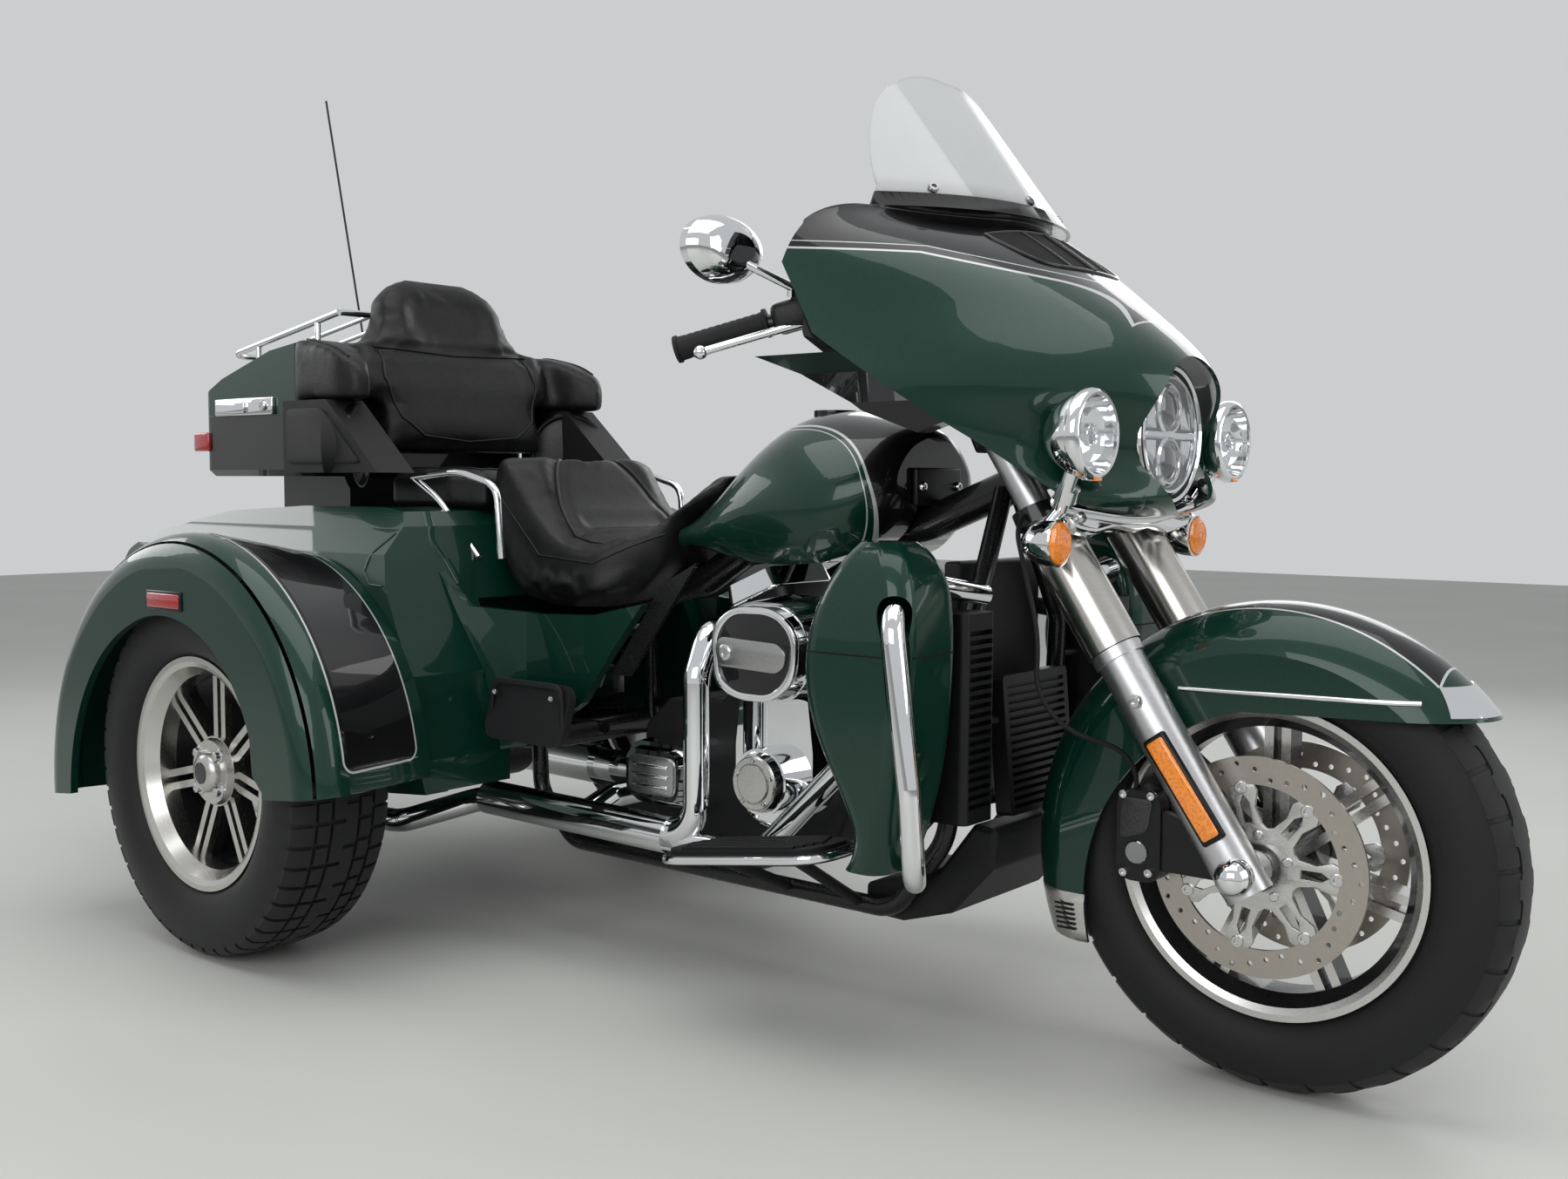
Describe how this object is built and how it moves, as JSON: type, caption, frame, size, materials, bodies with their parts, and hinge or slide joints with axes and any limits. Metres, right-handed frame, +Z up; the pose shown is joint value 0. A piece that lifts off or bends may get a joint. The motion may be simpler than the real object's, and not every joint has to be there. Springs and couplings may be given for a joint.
{
  "type": "motorized_trike",
  "caption": "Touring motor trike: fork-mounted fairing, open V-twin engine, bucket seats, top box, and a car-style rear body over two wheels",
  "frame": {"origin": "On the ground, below the middle of the vehicle: half way along its length and on its middle plane.", "axes": "+X is forward, the longest side; +Y is the rider's left; +Z is up."},
  "size_m": [2.67, 1.42, 1.7126],
  "materials": {
    "brushed_steel": "ground steel, brownish",
    "chrome": "polished chrome",
    "clear_screen": "clear windshield",
    "frame_black": "satin black powder coat",
    "lens_red": "red lens",
    "machined_alloy": "machined aluminium with dark pockets",
    "painted_black": "gloss black",
    "painted_green": "deep metallic green, gloss",
    "plastic_black": "grained black plastic",
    "rubber_black": "matt black rubber",
    "satin_alloy": "satin aluminium",
    "satin_black": "satin black crinkle",
    "seat_leather": "black seat cover with seams",
    "tyre_rubber": "matt tyre rubber"
  },
  "bodies": {
    "chassis": {"frame": "frame_black", "engine_cases": "satin_black", "cylinders": "satin_black", "rocker_covers": "chrome", "cam_cover": "chrome", "primary_cover": "chrome", "gearbox_cover": "chrome", "air_cleaner": "chrome", "exhaust": "chrome", "oil_cooler": "satin_black", "chin_cowl": "plastic_black", "engine_guard": "chrome", "lower_fairings": "painted_green", "radiators": "satin_black", "floorboards": "rubber_black", "passenger_boards": "plastic_black", "fuel_tank": "painted_green", "rear_body": "painted_green", "rear_fenders": "painted_green", "tail_lamps": "lens_red", "rear_axle": "frame_black", "shock_absorbers": "frame_black", "side_covers": "painted_green", "rider_seat": "seat_leather", "passenger_seat": "seat_leather", "grab_rails": "chrome", "top_box": "painted_black", "backrest": "seat_leather", "speaker_pods": "plastic_black", "frame_covers": "frame_black"},
    "steering": {"fork_clamps": "painted_black", "fork_legs": "satin_alloy", "fork_covers": "brushed_steel", "brake_calipers": "satin_black", "front_fender": "painted_green", "handlebar": "rubber_black", "mirrors": "chrome", "outer_fairing": "painted_green", "inner_fairing": "painted_black", "windshield": "clear_screen", "headlamp": "chrome", "passing_lamps": "chrome", "turn_signals": "chrome", "brake_hose": "rubber_black"},
    "front_wheel": {"front_rim": "machined_alloy", "front_tyre": "tyre_rubber", "front_discs": "brushed_steel"},
    "rear_wheel_right": {"rear_rim_right": "machined_alloy", "rear_tyre_right": "tyre_rubber"},
    "rear_wheel_left": {"rear_rim_left": "machined_alloy", "rear_tyre_left": "tyre_rubber"},
    "lid": {"top_box_lid": "painted_green", "luggage_rack": "chrome", "antenna": "plastic_black"},
    "door": {"boot_door": "painted_green"}
  },
  "joints": [
    {"name": "steering", "type": "hinge", "parent": "chassis", "child": "steering", "pos_m": [0.719, 0, 0.812], "axis": [-0.4384, 0, 0.8988], "range_deg": [-28, 28]},
    {"name": "front_wheel", "type": "hinge", "parent": "steering", "child": "front_wheel", "pos_m": [1.015, 0, 0.32], "axis": [0, 1, 0], "continuous": true},
    {"name": "rear_wheel_right", "type": "hinge", "parent": "chassis", "child": "rear_wheel_right", "pos_m": [-0.655, -0.579, 0.3235], "axis": [0, 1, 0], "continuous": true},
    {"name": "rear_wheel_left", "type": "hinge", "parent": "chassis", "child": "rear_wheel_left", "pos_m": [-0.655, 0.579, 0.3235], "axis": [0, 1, 0], "continuous": true},
    {"name": "box_lid", "type": "hinge", "parent": "chassis", "child": "lid", "pos_m": [-1.086, 0.293, 0.97], "axis": [-1, 0, 0], "range_deg": [0, 80]},
    {"name": "boot_door", "type": "hinge", "parent": "chassis", "child": "door", "pos_m": [-1.326, 0, 0.462], "axis": [0, -1, 0], "range_deg": [0, 90]}
  ]
}
